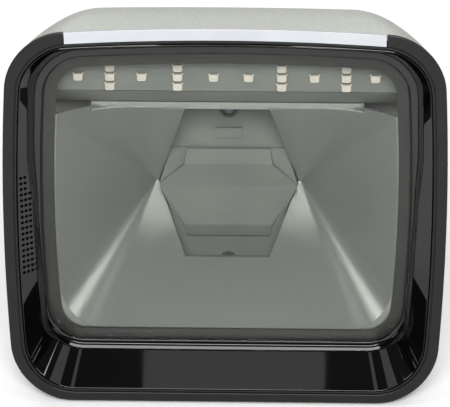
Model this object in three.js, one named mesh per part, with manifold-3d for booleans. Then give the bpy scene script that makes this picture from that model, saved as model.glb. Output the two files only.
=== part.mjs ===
// A hands-free 2D barcode scanner that stands on a counter: a leaning head with a deep glossy bezel, a glass
// window, a faceted light reflector behind it, and a horizontal base on rubber feet.
// Millimetres, +Z up, the window faces -Y. The origin is the centre of the footprint, on the counter.
import * as THREE from "three";
import { mergeVertices } from "three/addons/utils/BufferGeometryUtils.js";
import Module from "manifold-3d";

const wasm = await Module();
wasm.setup();

// ---------------------------------------------------------------- driving dimensions
const TILT = THREE.MathUtils.degToRad(5); // the head leans back by this much
const FRONT_Y = -44.88; // where the lip's plane meets the counter
const GAP = 0.3; // clearance between neighbouring pieces
const WALL = 2; // thickness of the moulded shells

// Outlines in the lip's plane: half width, top, bottom, and corner radii. Heights run up along the lip.
const LIP = { half: 68.65, top: 123.6, bottom: 1, upper: 17.2, lower: 18.6 };
const GROOVE = { half: 64.4, top: 119.0, bottom: 4.6, upper: 14, lower: 15.3 };
const WINDOW = { half: 58.25, top: 110.8, bottom: 15.1, upper: 11.4, lower: 11.4 };
const PANE = { half: 57.85, top: 110.4, bottom: 15.5, upper: 11, lower: 11 };
const SEAL = { half: 59.4, top: 111.9, bottom: 14.0, upper: 12.4, lower: 12.4 };
const CLEAR = { half: 54.2, top: 106.4, bottom: 17.6, upper: 7.5, lower: 7.5 };
const MIRROR = { half: 54.3, top: 104.6, bottom: 16.6, upper: 17, lower: 14 };
const MIRROR_WINDOW = { half: 55.4, top: 108.9, bottom: 15.9, upper: 9, lower: 14 };
const FLANGE = { half: 58.5, top: 110.9, bottom: 13.2, upper: 12, lower: 12 };
const SIDE_BARREL = 0.037; // how far the long edges bow, as a share of the half width
const SIDE_TAPER = 0.005; // how much wider the top is than the middle, as a share of the half width
const TOP_CROWN = 0.045; // how far the top edge bows, as a share of the half height

// Depths behind the lip's plane.
const SHELL_START = 1.5;
const GLASS_FRONT = 18;
const GLASS_THICK = 2;
const GASKET_THICK = 1;
const FLANGE_FRONT = GLASS_FRONT + GLASS_THICK + GASKET_THICK + 2 * GAP;
const VALLEY = { depth: 60, height: 54.1, half: 23.6 }; // the line on which the reflector's facets meet
const LEDGE = { depth: 34.9, low: 87.3, high: 89, half: 43.3, thick: 1.8 }; // the reflector's cut upper edge

const BODY = [
  // depth, half width, top, upper radius, lower radius, crown of the top edge
  [SHELL_START, 68.5, 123.5, 17.4, 18.6, 0.045],
  [10, 66.6, 123.3, 18.5, 18.5, 0.03],
  [20, 63.9, 122.9, 19.8, 18, 0.018],
  [30, 61.2, 121.7, 20.5, 17.5, 0.015],
  [40, 57.8, 118.3, 20.5, 17, 0.015],
  [50, 53.8, 113.2, 20.5, 16.5, 0.015],
  [60, 49.1, 107.0, 20.5, 16, 0.015],
  [70, 44.0, 100.2, 20, 15, 0.015],
  [77, 39.8, 94.8, 19.5, 14, 0.015],
  [81, 36.0, 90.0, 18, 13, 0.015],
  [82.5, 31.5, 85.0, 16, 12, 0.015],
];
const SHELL_FLOOR = { under: 1.6, thick: 4, thinUntil: 10 }; // thinner near the lip, to let the bezel in
const SPLIT = { front: 76, rear: 62 }; // heights of the line where the top cover meets the rear housing

// ---------------------------------------------------------------- solids and meshes
function solidOf(geometry) {
  const bare = (geometry.index ? geometry.toNonIndexed() : geometry.clone());
  for (const name of Object.keys(bare.attributes)) {
    if (name !== "position") bare.deleteAttribute(name);
  }
  const merged = mergeVertices(bare, 1e-4);
  const make = (triVerts) =>
    new wasm.Manifold(
      new wasm.Mesh({ numProp: 3, vertProperties: merged.attributes.position.array, triVerts }),
    );
  const triangles = new Uint32Array(merged.index.array);
  const solid = make(triangles);
  return solid.volume() < 0 ? make(triangles.reverse()) : solid;
}

function geometryOf(solid) {
  const { numProp, vertProperties, triVerts } = solid.getMesh();
  const count = vertProperties.length / numProp;
  const positions = new Float32Array(count * 3);
  for (let i = 0; i < count; i++) {
    positions.set(vertProperties.subarray(i * numProp, i * numProp + 3), i * 3);
  }
  const geometry = new THREE.BufferGeometry();
  geometry.setAttribute("position", new THREE.BufferAttribute(positions, 3));
  geometry.setIndex(new THREE.BufferAttribute(triVerts, 1));
  geometry.computeVertexNormals();
  return geometry;
}

function add(group, name, shape, material) {
  const geometry = shape.isBufferGeometry ? shape : geometryOf(shape);
  const mesh = new THREE.Mesh(geometry, material);
  mesh.name = name;
  group.add(mesh);
  return mesh;
}

// A box from its lowest corner to its highest.
function box(low, high) {
  const size = high.map((v, i) => v - low[i]);
  return new THREE.BoxGeometry(...size).translate(...low.map((v, i) => v + size[i] / 2));
}

// A round bar along the depth, from one depth to another.
function barAlongDepth(x, z, radius, from, to, sides = 20) {
  return new THREE.CylinderGeometry(radius, radius, to - from, sides).translate(x, (from + to) / 2, z);
}

// A round upright bar, from one height to another.
function upright(x, y, radius, from, to, sides = 20) {
  return new THREE.CylinderGeometry(radius, radius, to - from, sides)
    .rotateX(Math.PI / 2)
    .translate(x, y, (from + to) / 2);
}

// A profile drawn in depth and height, extruded across the head between two x values.
function across(points, fromX, toX) {
  const shape = new THREE.Shape(points.map(([depth, height]) => new THREE.Vector2(depth, height)));
  return new THREE.ExtrudeGeometry(shape, { depth: toX - fromX, bevelEnabled: false })
    .applyMatrix4(new THREE.Matrix4().set(0, 0, 1, fromX, 1, 0, 0, 0, 0, 1, 0, 0, 0, 0, 0, 1));
}

// ---------------------------------------------------------------- outlines
const CORNER_STEPS = 8;
const EDGE_STEPS = 4;

// The points of a rounded rectangle whose long edges bow out a little, anticlockwise from the lower right.
function outline({ half, top, bottom, upper, lower, crown = TOP_CROWN }) {
  const middle = (top + bottom) / 2;
  const rise = (top - bottom) / 2;
  const corners = [
    [half - lower, bottom + lower, lower, -Math.PI / 2],
    [half - upper, top - upper, upper, 0],
    [upper - half, top - upper, upper, Math.PI / 2],
    [lower - half, bottom + lower, lower, Math.PI],
  ];
  const flat = [];
  corners.forEach(([cx, cz, r, start], k) => {
    for (let i = 0; i <= CORNER_STEPS; i++) {
      const a = start + (i / CORNER_STEPS) * (Math.PI / 2);
      flat.push([cx + r * Math.cos(a), cz + r * Math.sin(a)]);
    }
    const [nx, nz, nr, nextStart] = corners[(k + 1) % corners.length];
    const [x0, z0] = flat.at(-1);
    const x1 = nx + nr * Math.cos(nextStart);
    const z1 = nz + nr * Math.sin(nextStart);
    for (let i = 1; i < EDGE_STEPS; i++) {
      const t = i / EDGE_STEPS;
      flat.push([x0 + (x1 - x0) * t, z0 + (z1 - z0) * t]);
    }
  });
  return flat.map(([x, z]) => {
    const up = (z - middle) / rise;
    const out = x / half;
    const drop = z > middle ? crown * out * out : 0;
    return [x * (1 - SIDE_BARREL * up * up + SIDE_TAPER * up), middle + (z - middle) * (1 - drop)];
  });
}

// The outline a share t of the way from one outline to another.
function between(a, b, t) {
  const mixed = {};
  for (const key of Object.keys(a)) mixed[key] = a[key] + (b[key] - a[key]) * t;
  return mixed;
}

function inset(shape, by) {
  return {
    half: shape.half - by,
    top: shape.top - by,
    bottom: shape.bottom + by,
    upper: Math.max(shape.upper - by, 1),
    lower: Math.max(shape.lower - by, 1),
  };
}

// Joins outlines at their depths into one closed body: a ring where the list closes on itself, or else a
// capped solid.
function loft(layers, closesOnItself) {
  const rings = layers.map(([shape, depth]) => outline(shape).map(([x, z]) => [x, depth, z]));
  const count = rings[0].length;
  const positions = rings.flat(2);
  const triangles = [];
  const last = closesOnItself ? rings.length : rings.length - 1;
  for (let k = 0; k < last; k++) {
    const a = k * count;
    const b = ((k + 1) % rings.length) * count;
    for (let i = 0; i < count; i++) {
      const j = (i + 1) % count;
      triangles.push(a + i, a + j, b + j, a + i, b + j, b + i);
    }
  }
  if (!closesOnItself) {
    for (const k of [0, rings.length - 1]) {
      const contour = rings[k].map(([x, , z]) => new THREE.Vector2(x, z));
      for (const [p, q, r] of THREE.ShapeUtils.triangulateShape(contour, [])) {
        const face = [k * count + p, k * count + q, k * count + r];
        triangles.push(...(k === 0 ? face.reverse() : face));
      }
    }
  }
  const geometry = new THREE.BufferGeometry();
  geometry.setAttribute("position", new THREE.Float32BufferAttribute(positions, 3));
  geometry.setIndex(triangles);
  return solidOf(geometry);
}

const ring = (layers) => loft(layers, true);
const block = (layers) => loft(layers, false);

// ---------------------------------------------------------------- materials
const finish = (color, roughness, metalness) => (
  new THREE.MeshStandardMaterial({ color, roughness, metalness })
);
const plastic = (color, roughness = 0.5) => finish(color, roughness, 0);
const metal = (color, roughness = 0.4) => finish(color, roughness, 1);
const satinBlack = plastic("#333331", 0.45);
const glossBlack = plastic("#0e0e0f", 0.08);
const shellBlack = plastic("#2b2b2a", 0.55);
const silverPaint = plastic("#c4c6bf", 0.5);
const diffuser = plastic("#eaf1f8", 0.5);
const rubber = plastic("#191919", 0.9);
const mirrorGrey = finish("#6f736d", 0.4, 0.4);
const innerGrey = plastic("#565a55", 0.7);
const board = plastic("#2f4a38", 0.6);
const ledBody = plastic("#efeadb", 0.5);
const clearGlass = new THREE.MeshStandardMaterial({
  color: "#ffffff", roughness: 0.02, metalness: 0, transparent: true, opacity: 0.25,
});
const lensGlass = plastic("#101418", 0.05);
const steel = metal("#9a9a98");
const darkPart = plastic("#1b1b1c", 0.6);
const cloth = plastic("#111111", 1);
const flexFilm = plastic("#8d5a25", 0.5);

// ---------------------------------------------------------------- front frame, light bar and bezel
const BAR = { half: 49, share: 0.79, depth: 1.2 }; // the light bar takes this share of the lip's width
const BAR_BOARD = { half: 38, front: 5, thick: 0.8, low: 118.8, high: 120 };
const TONGUE = 2.4; // how far the lip's inner edge reaches back, between the shells and the bezel

// The outline a share t of the way in from the lip's rim, kept clear of the counter as the head leans.
function lipAt(t, depth) {
  const shape = between(LIP, GROOVE, t);
  return { ...shape, bottom: shape.bottom + depth * Math.tan(TILT) };
}

function frontFrame() {
  const back = SHELL_START - GAP;
  const lip = ring([
    [lipAt(0.05, 0), 0],
    [lipAt(0, 0.3), 0.3],
    [lipAt(0, back), back],
    [lipAt(0.8, back), back],
    [lipAt(0.86, TONGUE), TONGUE],
    [lipAt(1, TONGUE), TONGUE],
    [lipAt(1, 0.4), 0.4],
    [lipAt(0.86, 0.25), 0.25],
    [lipAt(0.84, 0.7), 0.7],
    [lipAt(0.8, 0.7), 0.7],
    [lipAt(0.78, 0), 0],
  ]);
  const notch = ring([
    [lipAt(-0.3, 0), -1],
    [lipAt(-0.3, 0), 10],
    [lipAt(BAR.share + 0.08, 0), 10],
    [lipAt(BAR.share + 0.08, 0), -1],
  ]);
  const strip = solidOf(box([-BAR.half - GAP, -2, 100], [BAR.half + GAP, 11, 130]));
  return lip.subtract(notch.intersect(strip));
}

function lightBar() {
  const lip = ring([
    [lipAt(0.05, 0), 0],
    [lipAt(0, 0), 0.3],
    [lipAt(0, 0), BAR.depth],
    [lipAt(BAR.share, 0), BAR.depth],
    [lipAt(BAR.share, 0), 0],
  ]);
  return lip.intersect(solidOf(box([-BAR.half, -1, 100], [BAR.half, 6, 130])));
}

function lightBarBoard() {
  const { half, front, thick, low, high } = BAR_BOARD;
  return box([-half, front, low], [half, front + thick, high]);
}

// The bezel's section changes with height. Each line gives a value at heights from 0, at the bottom of the
// bezel, to 1, at its top.
const LAND_WIDE = [
  [0, 1.57], [0.05, 1.3], [0.12, 0.5], [0.2, 0.3], [0.35, 0.6], [0.5, 1.05], [0.73, 2.3], [0.84, 2.9],
  [0.93, 2.6], [1, 2.4],
];
const STEP_WIDE = [
  [0, -0.6], [0.03, -0.4], [0.1, 0.7], [0.2, 0.8], [0.5, 0.2], [0.73, 1], [0.84, 1.2], [0.93, 3.4], [1, 5],
];
const SLOPE_PITCH = [[0, 1.17], [0.03, 1.15], [0.13, 0.88], [0.3, 0.82], [1, 0.82]];
const SLOPE_START = 0.35;
const STEP_END = 16.4;
const SLOPE_THICK = 1.8;
const STEP_THICK = 1;

// The value at a place on a line of places and values, eased between them.
function along(line, place) {
  const next = Math.max(line.findIndex(([at]) => place <= at), 1);
  const [a, from] = line[next - 1];
  const [b, to] = line[next];
  return from + (to - from) * THREE.MathUtils.smoothstep(place, a, b);
}

// A slope, a steep step and a narrow land beside the window, and the back behind them, as way in and depth.
function bezelSection(width, height) {
  const end = GLASS_FRONT - GAP;
  const land = along(LAND_WIDE, height);
  const step = along(STEP_WIDE, height);
  const pitch = along(SLOPE_PITCH, height);
  const bend = width - land - step;
  const wall = Math.max(bend - STEP_THICK, 0.1);
  const behind = SLOPE_START + SLOPE_THICK * Math.hypot(1, pitch);
  return [
    [0, SLOPE_START + 0.5],
    [0.1, SLOPE_START],
    [bend, SLOPE_START + pitch * bend],
    [width - land, STEP_END],
    [width - 0.15, STEP_END + 0.2],
    [width, STEP_END + 0.4],
    [width, end],
    [wall + step, end],
    [wall, behind + pitch * wall],
    [0, behind],
  ];
}

function bezelBody() {
  const rim = outline(inset(GROOVE, GAP));
  const hole = outline(WINDOW);
  const rows = rim.map(([x, z], i) => {
    const [dx, dz] = [hole[i][0] - x, hole[i][1] - z];
    const width = Math.hypot(dx, dz);
    const height = (z - GROOVE.bottom) / (GROOVE.top - GROOVE.bottom);
    return bezelSection(width, height).map(([a, d]) => [x + (dx * a) / width, d, z + (dz * a) / width]);
  });
  const size = rows[0].length;
  const triangles = [];
  for (let i = 0; i < rows.length; i++) {
    const a = i * size;
    const b = ((i + 1) % rows.length) * size;
    for (let k = 0; k < size; k++) {
      const m = (k + 1) % size;
      triangles.push(a + k, a + m, b + m, a + k, b + m, b + k);
    }
  }
  const geometry = new THREE.BufferGeometry();
  geometry.setAttribute("position", new THREE.Float32BufferAttribute(rows.flat(2), 3));
  geometry.setIndex(triangles);
  return solidOf(geometry);
}

// The speaker's holes: the place of each column, and how many rows it has, counted from below.
const GRILLE_COLUMNS = [[-62.8, 18], [-61.6, 18], [-60.4, 15], [-59.2, 9]];
const GRILLE = { rows: 18, pitch: 1.84, middle: 59.1, radius: 0.48, lean: 0.018 };

function bezel() {
  let body = bezelBody();
  for (const [x, rows] of GRILLE_COLUMNS) {
    for (let row = 0; row < rows; row++) {
      const up = (row - (GRILLE.rows - 1) / 2) * GRILLE.pitch;
      const hole = barAlongDepth(x - GRILLE.lean * up, GRILLE.middle + up, GRILLE.radius, -1, 12, 6);
      body = body.subtract(solidOf(hole));
    }
  }
  return body;
}

// The speaker lies along the back of the bezel's left slope, with a dust cloth between them.
const SPEAKER = { x: -62.2, depth: 4.26, wide: 2.8, long: 33, thick: 1.8, cloth: 0.3 };

// A plate parallel to the slope, starting this far behind the bezel's back.
function slopePlate(behind, thick) {
  return new THREE.BoxGeometry(SPEAKER.wide, thick, SPEAKER.long)
    .translate(0, behind + thick / 2, 0)
    .rotateZ(Math.atan(along(SLOPE_PITCH, 0.5)))
    .translate(SPEAKER.x, SPEAKER.depth, GRILLE.middle);
}

// ---------------------------------------------------------------- window
function windowGlass() {
  return block([
    [PANE, GLASS_FRONT],
    [PANE, GLASS_FRONT + GLASS_THICK],
  ]);
}

function windowGasket() {
  const front = GLASS_FRONT + GLASS_THICK + GAP;
  const rear = front + GASKET_THICK;
  return ring([
    [SEAL, front],
    [SEAL, rear],
    [CLEAR, rear],
    [CLEAR, front],
  ]);
}

// ---------------------------------------------------------------- reflector
const MIRROR_WALL = 1.8; // thickness of the reflector, measured along the depth
const PORT = { half: 23, upper: 13.3, lower: 13.6, down: 19.4 }; // the six-sided opening round the valley

// Four facets fall from the rim to the two ends of the valley, with cones for corners.
function reflectorSkin(offset) {
  const points = outline(MIRROR);
  const rim = points.map(([x, z]) => [x, FLANGE_FRONT + offset, z]);
  const turn = points.length / 2;
  const edgeStart = turn - EDGE_STEPS;
  const foot = points.map((point, k) => {
    const side = k < turn ? 1 : -1;
    const along = Math.max((k % turn) - edgeStart, 0) / EDGE_STEPS;
    return [side * VALLEY.half * (1 - 2 * along), VALLEY.depth + offset, VALLEY.height];
  });
  return { rim, foot };
}

function reflectorFunnel() {
  const front = reflectorSkin(0);
  const rear = reflectorSkin(MIRROR_WALL);
  const count = front.rim.length;
  const positions = [...front.rim, ...front.foot, ...rear.rim, ...rear.foot].flat();
  const triangles = [];
  for (let i = 0; i < count; i++) {
    const j = (i + 1) % count;
    const quad = (a, b, c, d) => triangles.push(a, b, c, a, c, d);
    quad(i, j, count + j, count + i);
    quad(2 * count + j, 2 * count + i, 3 * count + i, 3 * count + j);
    quad(j, i, 2 * count + i, 2 * count + j);
  }
  const geometry = new THREE.BufferGeometry();
  geometry.setAttribute("position", new THREE.Float32BufferAttribute(positions, 3));
  geometry.setIndex(dropCollapsed(triangles, positions));
  return solidOf(geometry);
}

function reflector() {
  const rear = FLANGE_FRONT + MIRROR_WALL;
  const flange = (inner) => ring([
    [FLANGE, FLANGE_FRONT],
    [FLANGE, rear],
    [inner, rear],
    [inner, FLANGE_FRONT],
  ]);
  const sky = solidOf(box([-80, 0, LEDGE.high], [80, 80, 130]));
  const middle = solidOf(box([-LEDGE.half, 30, LEDGE.low], [LEDGE.half, 80, 130]));
  const band = solidOf(box(
    [-LEDGE.half, LEDGE.depth, LEDGE.low - 0.5],
    [LEDGE.half, LEDGE.depth + LEDGE.thick, LEDGE.high],
  ));
  const rise = LEDGE.low - VALLEY.height;
  const port = slotThrough([
    [-PORT.half, 0],
    [-PORT.lower, -PORT.down],
    [PORT.lower, -PORT.down],
    [PORT.half, 0],
    [PORT.upper, rise],
    [-PORT.upper, rise],
  ]);
  return reflectorFunnel()
    .subtract(sky)
    .add(flange(inset(MIRROR, 0.4)).subtract(sky))
    .add(flange(MIRROR_WINDOW))
    .subtract(middle)
    .subtract(port)
    .add(band);
}

// A prism along the depth whose outline is given as x and height above the valley.
function slotThrough(points) {
  const shape = new THREE.Shape(points.map(([x, up]) => new THREE.Vector2(x, VALLEY.height + up)));
  const prism = new THREE.ExtrudeGeometry(shape, { depth: 60, bevelEnabled: false });
  return solidOf(
    prism.applyMatrix4(new THREE.Matrix4().set(1, 0, 0, 0, 0, 0, 1, 25, 0, 1, 0, 0, 0, 0, 0, 1)),
  );
}

// Leaves out the triangles that a cone's point collapses to nothing.
function dropCollapsed(triangles, positions) {
  const kept = [];
  const at = (i) => positions.slice(3 * i, 3 * i + 3).map((v) => v.toFixed(4)).join();
  for (let i = 0; i < triangles.length; i += 3) {
    const corners = triangles.slice(i, i + 3);
    if (new Set(corners.map(at)).size === 3) kept.push(...corners);
  }
  return kept;
}

// ---------------------------------------------------------------- lighting
const LED_FACE = 28.5; // depth of the LED board's face
const LED_BOARD = { half: 54, low: 94.8, high: 108.6, thick: 1.6 };
const LED_SIZE = { wide: 3.5, tall: 2.8, thick: 0.9, rim: 0.35 };
const LED_COLUMNS = [-46.8, -36.8, -26.8, -15.5, -4.2, 6.8, 17.2, 27.5, 37.5, 46.6];
const TRIPLE_COLUMNS = [1, 3, 6, 8];
const LED_MIDDLE = 99.5;
const CARRIER_HALF = 54.4; // half width of the carrier that holds the LED board
const LED_PITCH = 3.05;

// A surface-mount lamp: a flat base with a slightly smaller lens on it.
function led(x, z) {
  const { wide, tall, thick, rim } = LED_SIZE;
  const rear = LED_FACE - GAP;
  const base = box([x - wide / 2, rear - thick / 2, z - tall / 2], [x + wide / 2, rear, z + tall / 2]);
  const lens = box(
    [x - wide / 2 + rim, rear - thick, z - tall / 2 + rim],
    [x + wide / 2 - rim, rear - thick / 3, z + tall / 2 - rim],
  );
  return solidOf(base).add(solidOf(lens));
}

function ledBoard() {
  const { half, low, high, thick } = LED_BOARD;
  return box([-half, LED_FACE, low], [half, LED_FACE + thick, high]);
}

function ledCarrier() {
  const foot = LEDGE.high + GAP;
  const seat = LED_FACE + LED_BOARD.thick + GAP;
  return across(
    [
      [LEDGE.depth, foot],
      [LEDGE.depth + 3, foot],
      [LEDGE.depth + 3, foot + 1.4],
      [seat + 2, 96],
      [seat + 2, 109],
      [seat, 109],
      [seat, LED_BOARD.low - GAP],
      [LED_FACE + 0.4, LED_BOARD.low - GAP],
    ],
    -CARRIER_HALF,
    CARRIER_HALF,
  );
}

// ---------------------------------------------------------------- camera, aimer and the trough between them
const OPTICS = { face: 56, rear: 64, half: 24, up: 32, down: -31 };
const LENS_UP = 26.3; // the lens sits this far above the valley, and the carrier's screw as far below it
const LENS = { barrel: 3.2, glass: 2.2, front: 54.2, rear: 64, seat: 58 };
const CHEEK_FRONT = 55.3; // depth of the faces on either side of the trough
const CARRIER_SCREW = { head: 3.2, shaft: 1.3, front: 54.6 };

// A back plate that keeps clear of the valley, with a V-shaped trough and its cheeks standing on it.
function opticsCarrier() {
  const { face, rear, half, up, down } = OPTICS;
  const z = VALLEY.height;
  const plate = across(
    [[face, up], [face, 8.6], [62.4, 0.8], [62.4, -0.8], [face, -14], [face, down], [rear, down], [rear, up]]
      .map(([depth, h]) => [depth, z + h]),
    -half,
    half,
  );
  const trough = across(
    [
      [54.4, 12.8], [53, 8.3], [53, 7.7], [55, 0], [53, -12.6], [53, -13.3],
      [54.4, -17.2], [63, -17.2], [63, 12.8],
    ]
      .map(([depth, h]) => [depth, z + h]),
    -half,
    half,
  );
  const sides = slotThrough([
    [13.5, 12.9],
    [-13.5, 12.9],
    [-14.5, 7.6],
    [-22.4, 0.6],
    [-22.4, -0.6],
    [-14.5, -12.6],
    [-13.5, -17.3],
    [13.5, -17.3],
    [14.5, -12.6],
    [22.4, -0.6],
    [22.4, 0.6],
    [14.5, 7.6],
  ]);
  const cheeks = slotThrough([
    [18.8, 12.9],
    [-18.8, 12.9],
    [-22.4, 0.6],
    [-22.4, -0.6],
    [-14.2, -17.3],
    [14.2, -17.3],
    [22.4, -0.6],
    [22.4, 0.6],
  ]);
  const core = solidOf(box([-half, CHEEK_FRONT, z + down], [half, 63, z + up]));
  return solidOf(plate)
    .add(solidOf(trough).intersect(sides))
    .add(core.intersect(cheeks))
    .subtract(solidOf(barAlongDepth(0, z + LENS_UP, LENS.barrel + GAP, 50, 70, 24)))
    .subtract(solidOf(barAlongDepth(0, z - LENS_UP, CARRIER_SCREW.shaft + GAP, 50, 70, 12)));
}

function lensBarrel() {
  const z = VALLEY.height + LENS_UP;
  const tube = solidOf(barAlongDepth(0, z, LENS.barrel, LENS.front, LENS.rear, 24));
  return tube.subtract(solidOf(barAlongDepth(0, z, LENS.glass + GAP, LENS.front - 1, LENS.seat, 24)));
}

function lensElement() {
  const profile = [[0, 0], [LENS.glass, 0], [LENS.glass, 1.4], [LENS.glass * 0.7, 1.9], [0, 2.2]];
  return new THREE.LatheGeometry(profile.map(([r, y]) => new THREE.Vector2(r, y)), 20)
    .rotateZ(Math.PI)
    .translate(0, LENS.seat - GAP, VALLEY.height + LENS_UP);
}

function carrierScrew() {
  const z = VALLEY.height - LENS_UP;
  const { head: radius, shaft, front } = CARRIER_SCREW;
  const cap = solidOf(barAlongDepth(0, z, radius, front, OPTICS.face - GAP, 24));
  const cross = solidOf(box([-1.8, front - 1, z - 0.3], [1.8, front + 0.6, z + 0.3]))
    .add(solidOf(box([-0.3, front - 1, z - 1.8], [0.3, front + 0.6, z + 1.8])));
  return cap.add(solidOf(barAlongDepth(0, z, shaft, 55, OPTICS.rear - 1, 12))).subtract(cross);
}

function aimerLens() {
  const z = VALLEY.height;
  return box([-4.2, 54.6, z + 16.6], [4.2, OPTICS.face - GAP, z + 19.8]);
}

function sensorBoard() {
  const z = VALLEY.height;
  return box([-12, OPTICS.rear + GAP, z + 12], [12, OPTICS.rear + GAP + 1, z + 32]);
}

// ---------------------------------------------------------------- shells
// The height, as the leaning head measures it, of a level plane this far above the counter.
const level = (height, depth) => (height + depth * Math.sin(TILT)) / Math.cos(TILT);

function bodySection([depth, half, top, upper, lower, crown], wall, floor) {
  const shape = {
    half: half - wall,
    top: top - wall,
    bottom: level(floor, depth),
    upper: upper - wall,
    lower: lower - wall,
    crown,
  };
  return [shape, depth];
}

function shell() {
  const { under, thick, thinUntil } = SHELL_FLOOR;
  const outer = block(BODY.map((row) => bodySection(row, 0, under)));
  const rearWall = BODY.at(-1)[0] - WALL;
  const rows = [
    [SHELL_START - 2, ...BODY[0].slice(1)],
    ...BODY.filter(([depth]) => depth < rearWall),
    [rearWall, ...BODY.at(-2).slice(1)],
  ];
  const hollow = block(
    rows.map((row) => bodySection(row, WALL, under + (row[0] > thinUntil ? thick : WALL))),
  );
  return outer.subtract(hollow);
}

// Everything above the line where the two shells meet, moved up by a little.
function aboveSplit(shift) {
  return solidOf(across(
    [
      [0, SPLIT.front + shift],
      [90, SPLIT.rear + shift],
      [90, 140],
      [0, 140],
    ],
    -80,
    80,
  ));
}

// ---------------------------------------------------------------- rear: boards, socket and button
const MAIN_BOARD = { front: 68.5, thick: 1.6, half: 34, low: 13.5, high: 66 };
const BOARD_REAR = MAIN_BOARD.front + MAIN_BOARD.thick + GAP;
const SHIELD = { left: 12, right: 30, low: 30, high: 52, thick: 2.6 };
const SOCKET = { half: 7.8, low: 15, high: 29, rear: 83.2 };
const MOUTH = { half: 6, low: 18, high: 25.5, deep: 11 };
const LATCH = { half: 3, low: 25, high: 27.1 };
const BUTTON = { z: 46, radius: 4.6, collar: 5.6, front: 79, collarThick: 0.8, rear: 83.9, travel: 0.8 };

function mainBoard() {
  const { front, thick, half, low, high } = MAIN_BOARD;
  return box([-half, front, low], [half, front + thick, high]);
}

function processorShield() {
  const { left, right, low, high, thick } = SHIELD;
  return box([left, BOARD_REAR, low], [right, BOARD_REAR + thick, high]);
}

function flexCable() {
  const start = OPTICS.rear + GAP + 1 + GAP;
  const end = MAIN_BOARD.front - GAP;
  return across(
    [
      [start, 76],
      [start + 0.2, 76],
      [start + 0.2, 66],
      [end, 60],
      [end, 52],
      [end - 0.2, 52],
      [end - 0.2, 59.9],
      [start, 65.9],
    ],
    -5,
    5,
  );
}

function tactSwitch() {
  const stemEnd = BUTTON.front - BUTTON.travel - GAP;
  const body = solidOf(box([-3, BOARD_REAR, BUTTON.z - 3], [3, BOARD_REAR + 3.6, BUTTON.z + 3]));
  return body.add(solidOf(barAlongDepth(0, BUTTON.z, 1.7, BOARD_REAR + 1, stemEnd, 16)));
}

function functionButton() {
  const { z, radius, collar, front, collarThick, rear } = BUTTON;
  const cap = block([
    [{ half: radius, top: z + radius, bottom: z - radius, upper: radius, lower: radius }, front],
    [{ half: radius, top: z + radius, bottom: z - radius, upper: radius, lower: radius }, rear - 0.6],
    [inset({ half: radius, top: z + radius, bottom: z - radius, upper: radius, lower: radius }, 0.7), rear],
  ]);
  return cap.add(solidOf(barAlongDepth(0, z, collar, front, front + collarThick, 32)));
}

function cableSocket() {
  const { half, low, high, rear } = SOCKET;
  const body = solidOf(box([-half, BOARD_REAR, low], [half, rear, high]));
  const mouth = box([-MOUTH.half, rear - MOUTH.deep, MOUTH.low], [MOUTH.half, rear + 1, MOUTH.high]);
  const latch = box([-LATCH.half, rear - MOUTH.deep, LATCH.low], [LATCH.half, rear + 1, LATCH.high]);
  return body.subtract(solidOf(mouth)).subtract(solidOf(latch));
}

// ---------------------------------------------------------------- base
const BASE = { underside: 0.6, skirtTop: 1.3, top: 3.3, step: 6, stepFront: -30, pocketTop: 3.6 };
// The footprint's edge from front to rear: y, and half width there.
const BASE_PLAN = [
  [-43.4, 51],
  [-42.4, 53.6],
  [-40, 54.8],
  [-25, 53.2],
  [0, 46.4],
  [20, 37.8],
  [33, 30],
  [36.2, 26],
];
const FEET = [[-38, -22], [38, -22], [-20, 23], [20, 23]];
const FOOT = { radius: 6, top: 1.2, pocket: 1.5 };
const BOSSES = [[-38, -11], [38, -11], [-28, 12], [28, 12]];
const BOSS = { radius: 3.4, bore: 1.5, top: 14 };
const SCREW = { head: 2.8, shaft: 1.2, underside: 0.9, headTop: 2.3, top: 12.5 };
const BALLAST = { half: 24, front: -14, rear: 14, thick: 3.5 };

// An upright slab of the footprint, drawn in by a margin and cut off at the front.
function slab(margin, front, from, to) {
  const rear = BASE_PLAN.at(-1)[0] - margin;
  const right = BASE_PLAN.map(([y, half]) => (
    new THREE.Vector2(half - margin, THREE.MathUtils.clamp(y, front, rear))
  ));
  const left = right.map(({ x, y }) => new THREE.Vector2(-x, y)).reverse();
  const shape = new THREE.Shape([...right, ...left]);
  return solidOf(
    new THREE.ExtrudeGeometry(shape, { depth: to - from, bevelEnabled: false }).translate(0, 0, from),
  );
}

function basePlate() {
  let body = slab(0, BASE_PLAN[0][0], BASE.underside, BASE.skirtTop)
    .add(slab(BASE.step, BASE.stepFront, BASE.underside, BASE.top));
  for (const [x, y] of FEET) {
    body = body.subtract(solidOf(upright(x, y, FOOT.radius + GAP, 0, FOOT.pocket, 24)));
  }
  for (const [x, y] of BOSSES) {
    body = body.subtract(solidOf(upright(x, y, SCREW.shaft + GAP, 0, 6, 12)));
    body = body.subtract(solidOf(upright(x, y, SCREW.head + GAP, 0, SCREW.headTop + GAP, 16)));
  }
  return body;
}

function baseScrew(x, y) {
  const cap = solidOf(upright(x, y, SCREW.head, SCREW.underside, SCREW.headTop, 16));
  const slot = solidOf(box([x - 1.8, y - 0.3, 0], [x + 1.8, y + 0.3, 1.5]));
  const cross = solidOf(box([x - 0.3, y - 1.8, 0], [x + 0.3, y + 1.8, 1.5]));
  return cap.add(solidOf(upright(x, y, SCREW.shaft, 2, SCREW.top, 12))).subtract(slot).subtract(cross);
}

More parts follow.
